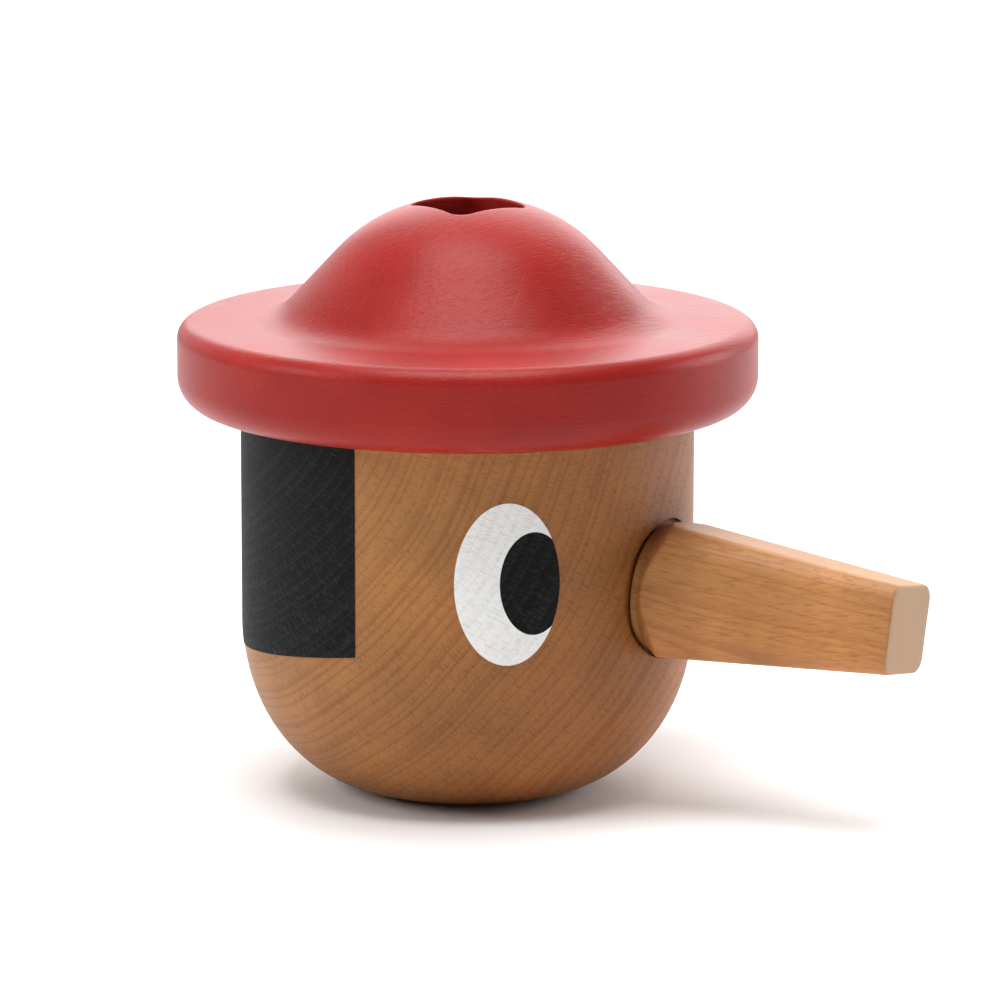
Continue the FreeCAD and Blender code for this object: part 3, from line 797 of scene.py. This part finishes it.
class NUTCRACKER_OT_beak(bpy.types.Operator):
    """Shapes the tapered square beak with its eased end and its blind hole"""
    bl_idname = "nutcracker.beak"
    bl_label = "Beak"

    def execute(self, context):
        settings = context.scene.nutcracker
        mesh = mesh_from_rings("square_beak", self.rings(settings.beak), False)
        mesh.transform(screw_matrix())
        show("square_beak", mesh, "beak", ["beak"], beak_beech(settings))
        return {"FINISHED"}

    def rings(self, beak):
        """From the blind hole's floor out to the root face, along the sides and over the end face."""
        facets = 192
        thetas = [math.tau * k / facets for k in range(facets)]
        slope = (beak.flare_radius - beak.root_radius) / (beak.flare_length - beak.root_straight)

        def square(z, theta):
            return taper_radius(beak, beak.length - z, 0.0, theta - beak.roll)

        def flared(z, theta):
            return min(square(z, theta), beak.root_radius + slope * max(0.0, z - beak.root_straight))

        def ring(z, radius):
            return [Vector((radius(t) * math.cos(t), radius(t) * math.sin(t), z)) for t in thetas]

        hole = beak.tenon_radius
        face = beak.root_radius - beak.root_ease
        rings = [ring(beak.tenon_length, lambda t: 0.5 * hole)]
        rings += [ring(beak.tenon_length * (1 - k / 6), lambda t: hole) for k in range(7)]
        rings += [ring(0.0, lambda t, k=k: hole + (face - hole) * k / 4) for k in range(1, 4)]
        for k in range(5):
            turn = math.pi / 2 * k / 4
            edge = beak.root_radius - beak.root_ease * (1 - math.sin(turn))
            rings.append(ring(beak.root_ease * (1 - math.cos(turn)), lambda t, r=edge: r))
        start, end = beak.root_straight, beak.length - beak.ease
        flare_steps, side_steps = 18, 20
        heights = [start + (beak.flare_length - start) * k / flare_steps for k in range(flare_steps)]
        rings += [ring(z, lambda t, z=z: flared(z, t)) for z in heights]
        heights = [beak.flare_length + (end - beak.flare_length) * k / side_steps for k in range(side_steps)]
        rings += [ring(z, lambda t, z=z: square(z, t)) for z in heights]
        for k in range(6):
            turn = math.pi / 2 * k / 5
            z = end + beak.ease * math.sin(turn)
            rings.append(ring(z, lambda t, z=z, c=math.cos(turn): square(z, t) - beak.ease * (1 - c)))
        rings += [ring(beak.length, lambda t, k=k: (square(beak.length, t) - beak.ease) * (1 - k / 5))
                  for k in range(1, 5)]
        return rings


class NUTCRACKER_OT_screw(bpy.types.Operator):
    """Cuts the wooden screw and fits the swivel pad with its pin"""
    bl_idname = "nutcracker.screw"
    bl_label = "Screw and pad"

    def execute(self, context):
        settings = context.scene.nutcracker
        screw = settings.screw
        wood = bpy.data.objects["square_beak"].active_material
        back = -screw.length - screw.pad_gap
        front = back - screw.pad_thickness
        under_head = front + screw.pin_clearance + screw.pin_head_height

        outline, weights = self.threaded(settings)
        self.piece("threaded_screw", outline, 128, wood, "beak", "screw", "beak_beech", weights, screw)

        hole = screw.pin_radius + screw.pin_clearance
        sink = screw.pin_head + screw.pin_clearance
        sink_floor = under_head + screw.pin_clearance
        pad = rounded_outline(
            [(hole, back), (screw.pad_radius, back), (screw.pad_radius, front), (sink, front),
             (sink, sink_floor), (hole, sink_floor), (hole, back)],
            [0, 0.3 * MM, screw.pad_round, 0.2 * MM, 0, 0, 0])
        self.piece("swivel_pad", pad, 96, wood, "pad", "pressure_pad", "beak_beech")

        pin = rounded_outline(
            [(0, under_head - screw.pin_head_height), (screw.pin_head, under_head - screw.pin_head_height),
             (screw.pin_head, under_head), (screw.pin_radius, under_head),
             (screw.pin_radius, screw.pin_grip - screw.length), (0, screw.pin_grip - screw.length)],
            [0, 0.6 * MM, 0.2 * MM, 0, 0.2 * MM, 0])
        wire = plated_wire("Zinc-plated steel wire")
        self.piece("steel_pin", pin, 48, wire, "beak", "pad_pin", "steel_pin")
        return {"FINISHED"}

    def threaded(self, settings):
        """Outline and thread weights from the pin's hole over the bevelled end to the tenon."""
        screw, beak = settings.screw, settings.beak
        core = screw.radius - screw.depth
        end = -screw.length
        floor = end + screw.pin_grip
        outline = [Vector((0, floor)), Vector((screw.pin_radius, floor)), Vector((screw.pin_radius, end))]
        weights = [0.0, 0.0, 0.0]
        rows = math.ceil((screw.length - screw.neck) / THREAD_ROW)
        for k in range(rows + 1):
            height = (screw.length - screw.neck) * k / rows
            limit = screw.radius - max(0.0, screw.chamfer - height)
            bare = min(core, limit)
            outline.append(Vector((bare, end + height)))
            weights.append((limit - bare) / screw.depth)
        outline += [Vector((core, -screw.neck)), Vector((core, 0)), Vector((beak.tenon_radius, 0)),
                    Vector((beak.tenon_radius, beak.tenon_length)), Vector((0, beak.tenon_length))]
        weights += [0.0] * 5
        return outline, weights

    def piece(self, name, outline, segments, material, body, node, slot, weights=None, screw=None):
        mesh = turned_mesh(name, outline, segments, material, weights, screw)
        mesh.transform(screw_matrix())
        show(name, mesh, body, [node], material)


class NUTCRACKER_PT_pieces(bpy.types.Panel):
    bl_label = "Bird-head nutcracker"
    bl_idname = "NUTCRACKER_PT_pieces"
    bl_space_type = "VIEW_3D"
    bl_region_type = "UI"
    bl_category = "Nutcracker"

    def draw(self, context):
        for operator in OPERATORS:
            self.layout.operator(operator.bl_idname)
        for name in SETTINGS:
            box = self.layout.box()
            group = getattr(context.scene.nutcracker, name)
            for key in group.bl_rna.properties.keys():
                if key not in ("rna_type", "name"):
                    box.prop(group, key)


SETTINGS = ("pot", "hat", "beak", "screw", "finish")
OPERATORS = (
    NUTCRACKER_OT_stage,
    NUTCRACKER_OT_pot,
    NUTCRACKER_OT_prints,
    NUTCRACKER_OT_hat,
    NUTCRACKER_OT_beak,
    NUTCRACKER_OT_screw,
)
CLASSES = (
    PotSizes, HatSizes, BeakSizes, ScrewSizes, Finishes, NutcrackerSettings, *OPERATORS, NUTCRACKER_PT_pieces)


def register():
    for item in CLASSES:
        bpy.utils.register_class(item)
    bpy.types.Scene.nutcracker = PointerProperty(type=NutcrackerSettings)


def unregister():
    del bpy.types.Scene.nutcracker
    for item in reversed(CLASSES):
        bpy.utils.unregister_class(item)


def main():
    register()
    bpy.ops.nutcracker.stage()
    bpy.ops.nutcracker.pot()
    bpy.ops.nutcracker.prints()
    bpy.ops.nutcracker.hat()
    bpy.ops.nutcracker.beak()
    bpy.ops.nutcracker.screw()


if __name__ == "__main__":
    main()
